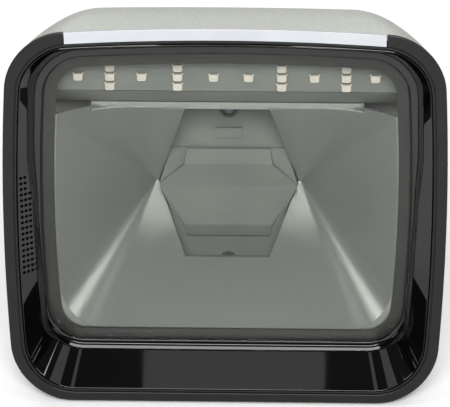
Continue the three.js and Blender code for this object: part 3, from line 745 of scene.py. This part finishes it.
def reflector_funnel(corner_steps=48, edge_steps=12):
    """Four facets fall from the rim to the two ends of the valley, with cones for corners."""
    points = outline(MIRROR, corner_steps, edge_steps)
    count = len(points)
    turn = count // 2
    feet = []
    for k in range(count):
        side = 1 if k < turn else -1
        along = max((k % turn) - (turn - edge_steps), 0) / edge_steps
        feet.append(side * VALLEY["half"] * (1 - 2 * along))
    verts = []
    for offset in (0, MIRROR_WALL):
        verts += [(x, FLANGE_FRONT + offset, z) for x, z in points]
        verts += [(x, VALLEY["depth"] + offset, VALLEY["height"]) for x in feet]
    faces = []
    for i in range(count):
        j = (i + 1) % count
        faces.append((i, j, count + j, count + i))
        faces.append((2 * count + j, 2 * count + i, 3 * count + i, 3 * count + j))
        faces.append((j, i, 2 * count + i, 2 * count + j))
    obj = new_object("reflector_funnel", verts, faces)
    turn_outwards(obj)
    return obj


def make_reflector():
    rear = FLANGE_FRONT + MIRROR_WALL
    funnel = reflector_funnel()
    carve(funnel, box("sky", (-80, 0, LEDGE["high"]), (80, 80, 130)))

    def flange(inner):
        return loft(
            "flange",
            [(FLANGE, FLANGE_FRONT), (FLANGE, rear), (inner, rear), (inner, FLANGE_FRONT)],
            ring=True,
        )

    lower = carve(flange(inset(MIRROR, 0.4)), box("sky", (-80, 0, LEDGE["high"]), (80, 80, 130)))
    carve(funnel, lower, "UNION")
    carve(funnel, flange(MIRROR_WINDOW), "UNION")
    carve(funnel, box("middle", (-LEDGE["half"], 30, LEDGE["low"]), (LEDGE["half"], 80, 130)))
    z, rise = VALLEY["height"], LEDGE["low"] - VALLEY["height"]
    port = [
        (-PORT["half"], z),
        (-PORT["lower"], z - PORT["down"]),
        (PORT["lower"], z - PORT["down"]),
        (PORT["half"], z),
        (PORT["upper"], z + rise),
        (-PORT["upper"], z + rise),
    ]
    carve(funnel, prism("port", port, 25, 85, "y"))
    low = (-LEDGE["half"], LEDGE["depth"], LEDGE["low"] - 0.5)
    high = (LEDGE["half"], LEDGE["depth"] + LEDGE["thick"], LEDGE["high"])
    carve(funnel, box("band", low, high), "UNION")
    place(funnel, MIRROR_GREY, ["reflector"], smooth=0.2, slot="mirror_grey")


# ------------------------------------------------------------------ lamps
LED_FACE = 28.5
LED_BOARD = {"half": 54, "low": 94.8, "high": 108.6, "thick": 1.6}
LED_SIZE = {"wide": 3.5, "tall": 2.55, "thick": 0.9, "ear": 0.28, "cut": 0.45}
DISH = {"rim": 0.95, "base": 0.7, "deep": 0.2}
LED_COUNT = 18
CARRIER_HALF = 54.4


def make_lamp(node):
    """A surface-mount lamp: a cream cup round a yellow face, with solder pads at its upper corners."""
    low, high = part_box(node)
    middle = (low + high) / 2
    half_w, half_t = LED_SIZE["wide"] / 2, LED_SIZE["tall"] / 2
    thick, ear, cut = LED_SIZE["thick"], LED_SIZE["ear"], LED_SIZE["cut"]
    side = half_w - ear
    shape = [
        (-side, half_t - ear), (-side, cut - half_t), (cut - side, -half_t),
        (side - cut, -half_t), (side, cut - half_t), (side, half_t - ear),
    ]
    cup = prism("lamp_" + node, shape, -thick / 2, thick / 2, "y")
    soften(cup, 0.12, 2)
    rim, base, sunk = DISH["rim"], DISH["base"], DISH["deep"] - thick / 2
    dish = lathe("dish", [(0, -thick), (rim, -thick), (base, sunk), (0, sunk)], 20)
    carve(cup, dish)
    pads = box("pads", (-half_w, -0.05, half_t - ear * 2), (half_w, thick / 2, half_t))
    carve(pads, box("between", (ear - side, -1, half_t - ear), (side - ear, 1, half_t + 1)))
    soften(pads, 0.06, 2)
    carve(cup, pads, "UNION")
    for face in cup.data.polygons:
        x, y, z = face.center
        inside = math.hypot(x, z) < rim and 0.01 - thick / 2 < y < 0
        face.material_index = 1 if inside else 0
    spot = Matrix.Translation(middle) @ Matrix.Rotation(-TILT, 4, "X") @ Matrix.Diagonal((MM, MM, MM, 1))
    place(cup, LED, [node], matrix=spot, slot="led_body")
    cup.data.materials.append(PHOSPHOR)


def make_led_carrier():
    foot = LEDGE["high"] + GAP
    seat = LED_FACE + LED_BOARD["thick"] + GAP
    under = LED_BOARD["low"] - GAP
    section = [
        (LEDGE["depth"], foot),
        (LEDGE["depth"] + 3, foot),
        (LEDGE["depth"] + 3, foot + 1.4),
        (seat + 2, 96),
        (seat + 2, 109),
        (seat, 109),
        (seat, under),
        (LED_FACE + 0.4, under),
    ]
    carrier = prism("lamp_carrier", section, -CARRIER_HALF, CARRIER_HALF, "x")
    soften(carrier, 0.2, 2)
    place(carrier, INNER_GREY, ["led_carrier"], slot="inner_grey")


def make_led_board():
    half, thick = LED_BOARD["half"], LED_BOARD["thick"]
    low = (-half, LED_FACE, LED_BOARD["low"])
    high = (half, LED_FACE + thick, LED_BOARD["high"])
    board = box("lamp_board", low, high)
    soften(board, 0.12, 2)
    place(board, INNER_GREY, ["led_board"], slot="circuit_board")


# ------------------------------------------------------------------ camera and trough
OPTICS = {"face": 56, "rear": 64, "half": 24, "up": 32, "down": -31}
LENS_UP = 26.3  # the lens sits this far above the valley, and the carrier's screw as far below it
LENS_HOLE = 3.5
SCREW_HOLE = 1.6
CHEEK_FRONT = 55.3
TROUGH_REAR = 63
# Sections as (depth, height above the valley), and outlines as (x, height above the valley).
TROUGH_SECTION = [
    (54.4, 12.8), (53, 8.3), (53, 7.7), (55, 0), (53, -12.6),
    (53, -13.3), (54.4, -17.2), (TROUGH_REAR, -17.2), (TROUGH_REAR, 12.8),
]
TROUGH_SIDES = [
    (13.5, 12.9), (-13.5, 12.9), (-14.5, 7.6), (-22.4, 0.6), (-22.4, -0.6), (-14.5, -12.6),
    (-13.5, -17.3), (13.5, -17.3), (14.5, -12.6), (22.4, -0.6), (22.4, 0.6), (14.5, 7.6),
]
CHEEKS = [
    (18.8, 12.9), (-18.8, 12.9), (-22.4, 0.6), (-22.4, -0.6), (-14.2, -17.3), (14.2, -17.3),
    (22.4, -0.6), (22.4, 0.6),
]


def bore(target, radius, height, near, far):
    """Drills a round hole along the depth."""
    hole = lathe("hole", [(0, near), (radius, near), (radius, far), (0, far)])
    hole.data.transform(Matrix.Translation((0, 0, height)))
    carve(target, hole)


def above_valley(points):
    return [(a, VALLEY["height"] + h) for a, h in points]


def make_optics():
    z = VALLEY["height"]
    face, rear, half = OPTICS["face"], OPTICS["rear"], OPTICS["half"]
    up, down = OPTICS["up"], OPTICS["down"]
    plate_section = [
        (face, up), (face, 8.6), (62.4, 0.8), (62.4, -0.8),
        (face, -14), (face, down), (rear, down), (rear, up),
    ]
    plate = prism("optics_plate", above_valley(plate_section), -half, half, "x")
    trough = prism("trough", above_valley(TROUGH_SECTION), -half, half, "x")
    carve(trough, prism("sides", above_valley(TROUGH_SIDES), 25, 85, "y"), "INTERSECT")
    soften(trough, 0.15, 2)
    carve(trough, prism("cheeks", above_valley(CHEEKS), CHEEK_FRONT, TROUGH_REAR, "y"), "UNION")
    carve(plate, trough, "UNION")
    bore(plate, LENS_HOLE, z + LENS_UP, 50, 70)
    bore(plate, SCREW_HOLE, z - LENS_UP, 50, 70)
    place(plate, INNER_GREY, ["optics_carrier"], smooth=25, slot="inner_grey")


def make_lens():
    z = VALLEY["height"] + LENS_UP
    wall = [
        (0, 58), (2.5, 58), (2.5, 55), (2.7, 54.4), (2.85, 54.2), (3.0, 54.2), (3.2, 54.4), (3.2, 64),
        (0, 64),
    ]
    tube = lathe("camera_barrel", wall)
    tube.data.transform(Matrix.Translation((0, 0, z)))
    place(tube, INNER_GREY, ["lens_barrel"], slot="dark_plastic")
    angles = [math.radians(9 * i) for i in range(11)]
    dome = [(2.2 * math.cos(a), 56.5 - 0.95 * math.sin(a)) for a in angles]
    glass = lathe("camera_lens", [(0, 57.7), (2.2, 57.7), *dome])
    glass.data.transform(Matrix.Translation((0, 0, z)))
    place(glass, LENS, ["lens_element"], slot="lens_glass")


# ------------------------------------------------------------------ shells
def level(height, depth):
    return (height + depth * math.sin(TILT)) / math.cos(TILT)


def body_row(depth):
    """Half width, top and corner radii of the body at a depth, on a smooth curve through its sections."""
    last = len(BODY) - 2
    k = max(i for i in range(last + 1) if BODY[i][0] <= depth or i == 0)
    rows = [BODY[max(min(k + i, last + 1), 0)] for i in (-1, 0, 1, 2)]
    span = rows[2][0] - rows[1][0]
    t = (depth - rows[1][0]) / span
    values = []
    for column in range(1, 6):
        p0, p1, p2, p3 = (row[column] for row in rows)
        before, after = rows[2][0] - rows[0][0], rows[3][0] - rows[1][0]
        m1 = (p2 - p0) / before * span
        m2 = (p3 - p1) / after * span if after else 0
        values.append(
            (2 * t**3 - 3 * t**2 + 1) * p1
            + (t**3 - 2 * t**2 + t) * m1
            + (3 * t**2 - 2 * t**3) * p2
            + (t**3 - t**2) * m2
        )
    return values


def body_section(depth, wall, floor):
    half, top, upper, lower, crown = body_row(depth)
    shape = {
        "half": half - wall,
        "top": top - wall,
        "bottom": level(floor, depth),
        "upper": upper - wall,
        "lower": lower - wall,
        "crown": crown,
    }
    return shape, depth


EVEN_UNTIL = 77  # the body's sections are evenly spaced up to this depth
EVEN_STEPS = 38
HOLLOW_UNTIL = 80
THIN_FLOOR = {"until": 12, "top": 3.6}  # thinner near the lip, to let the bezel in
FLOOR_TOP = 5.6
SOCKET_HOLE = {"half": 8.1, "low": 14.7, "high": 29.3}
BUTTON_HOLE = {"radius": 4.9, "height": 46}
REAR_CUT = (78, 90)  # depths between which the rear wall is cut


def make_shells():
    even = [SHELL_START + (EVEN_UNTIL - SHELL_START) * i / EVEN_STEPS for i in range(EVEN_STEPS + 1)]
    steps = [*even, 78, 79, 80, 81, 81.5, 82, BODY[-1][0]]

    def shell(name):
        outer = loft(name, [body_section(d, 0, FLOOR_UNDER) for d in steps], ring=False)
        thin = THIN_FLOOR["top"]
        layers = [(body_section(SHELL_START, WALL, thin)[0], SHELL_START - 2)]
        for d in steps:
            if d <= HOLLOW_UNTIL:
                layers.append(body_section(d, WALL, thin if d < THIN_FLOOR["until"] else FLOOR_TOP))
        return carve(outer, loft("hollow", layers, ring=False))

    def wedge(shift, above):
        rim = 140 if above else -20
        line = [(-5, SPLIT_FRONT + shift), (90, SPLIT_REAR + shift), (90, rim), (-5, rim)]
        return prism("wedge", line, -80, 80, "x")

    cover = carve(shell("cover_shell"), wedge(GAP / 2, True), "INTERSECT")
    soften(cover, 0.3, 3, 50)
    place(cover, SILVER, ["top_cover"], smooth=45, slot="silver_paint")
    housing = carve(shell("housing_shell"), wedge(-GAP / 2, False), "INTERSECT")
    near, far = REAR_CUT
    low = (-SOCKET_HOLE["half"], near, SOCKET_HOLE["low"])
    high = (SOCKET_HOLE["half"], far, SOCKET_HOLE["high"])
    carve(housing, box("socket_hole", low, high))
    bore(housing, BUTTON_HOLE["radius"], BUTTON_HOLE["height"], near, far)
    soften(housing, 0.3, 3, 50)
    place(housing, SHELL_BLACK, ["rear_housing"], smooth=45, slot="shell_black")


# ------------------------------------------------------------------ CAD nodes that keep their shape
def dress(nodes, material, width=0.0):
    for node in nodes:
        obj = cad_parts[node]
        obj.data.materials.clear()
        obj.data.materials.append(material)
        if width:
            step = obj.modifiers.new("edges", "BEVEL")
            step.width = width * MM
            step.segments = 2
            step.limit_method = "ANGLE"
            step.angle_limit = math.radians(30)


def dress_frame():
    dress(["light_bar_board", "sensor_board", "main_board"], BOARD, 0.15)
    dress(["speaker_cloth"], CLOTH)
    dress(["speaker", "tact_switch", "cable_socket", "function_button"], DARK, 0.15)
    dress(["aimer_lens"], INNER_GREY, 0.3)
    dress(["carrier_screw", "processor_shield", "ballast_plate"], STEEL, 0.2)
    dress([f"base_screw_{i}" for i in range(1, 5)], STEEL, 0.15)
    dress([f"rubber_foot_{i}" for i in range(1, 5)], RUBBER, 0.3)
    dress(["flex_cable"], FILM)
    dress(["base_plate"], SHELL_BLACK, 0.2)


# ------------------------------------------------------------------ studio
def soft_box(name, location, target, wide, tall, radiance):
    """A plain rectangular light, as bright as a white card of this radiance."""
    data = bpy.data.lights.new(name, "AREA")
    data.shape = "RECTANGLE"
    data.size, data.size_y = wide, tall
    data.energy = radiance * wide * tall * math.pi
    light = bpy.data.objects.new(name, data)
    bpy.context.scene.collection.objects.link(light)
    light.location = location
    light.rotation_euler = (Vector(target) - Vector(location)).to_track_quat("-Z", "Y").to_euler()


FLOOR_HALF = 6
WORLD_LIGHT = 0.08


def make_studio():
    size = FLOOR_HALF
    corners = [(-size, -size, 0), (size, -size, 0), (size, size, 0), (-size, size, 0)]
    floor = new_object("floor", corners, [(0, 1, 2, 3)])
    floor.data.materials.append(floor_paint())
    world = bpy.data.worlds.new("studio")
    bpy.context.scene.world = world
    world.use_nodes = True
    sky = world.node_tree.nodes["Background"]
    sky.inputs["Color"].default_value = (1, 1, 1, 1)
    sky.inputs["Strength"].default_value = WORLD_LIGHT
    centre = (0, 0, 0.05)
    soft_box("left", (-1.4, -0.5, 0.8), centre, 0.6, 0.45, 6)
    soft_box("right", (1.4, -0.5, 0.8), centre, 0.6, 0.45, 6)
    soft_box("behind", (0, 1.3, 1.2), centre, 1.6, 0.8, 4)
    soft_box("front", (0, -1.5, 1.0), centre, 0.8, 0.5, 28)
    for side in (-1, 1):
        soft_box("corner_fill", (side * 0.68, -0.5, 1.28), centre, 0.85, 0.45, 0.9)
    soft_box("overhead", (-0.018, -0.2, 1.25), (-0.018, -0.2, 0), 0.137, 0.8, 0.86)


# ------------------------------------------------------------------ everything
make_lip()
make_light_bar()
make_bezel()
make_window()
make_reflector()
for number in range(1, LED_COUNT + 1):
    make_lamp(f"led_{number}")
make_led_carrier()
make_led_board()
make_optics()
make_lens()
make_shells()
dress_frame()
make_studio()
bpy.context.scene.view_settings.view_transform = "Standard"
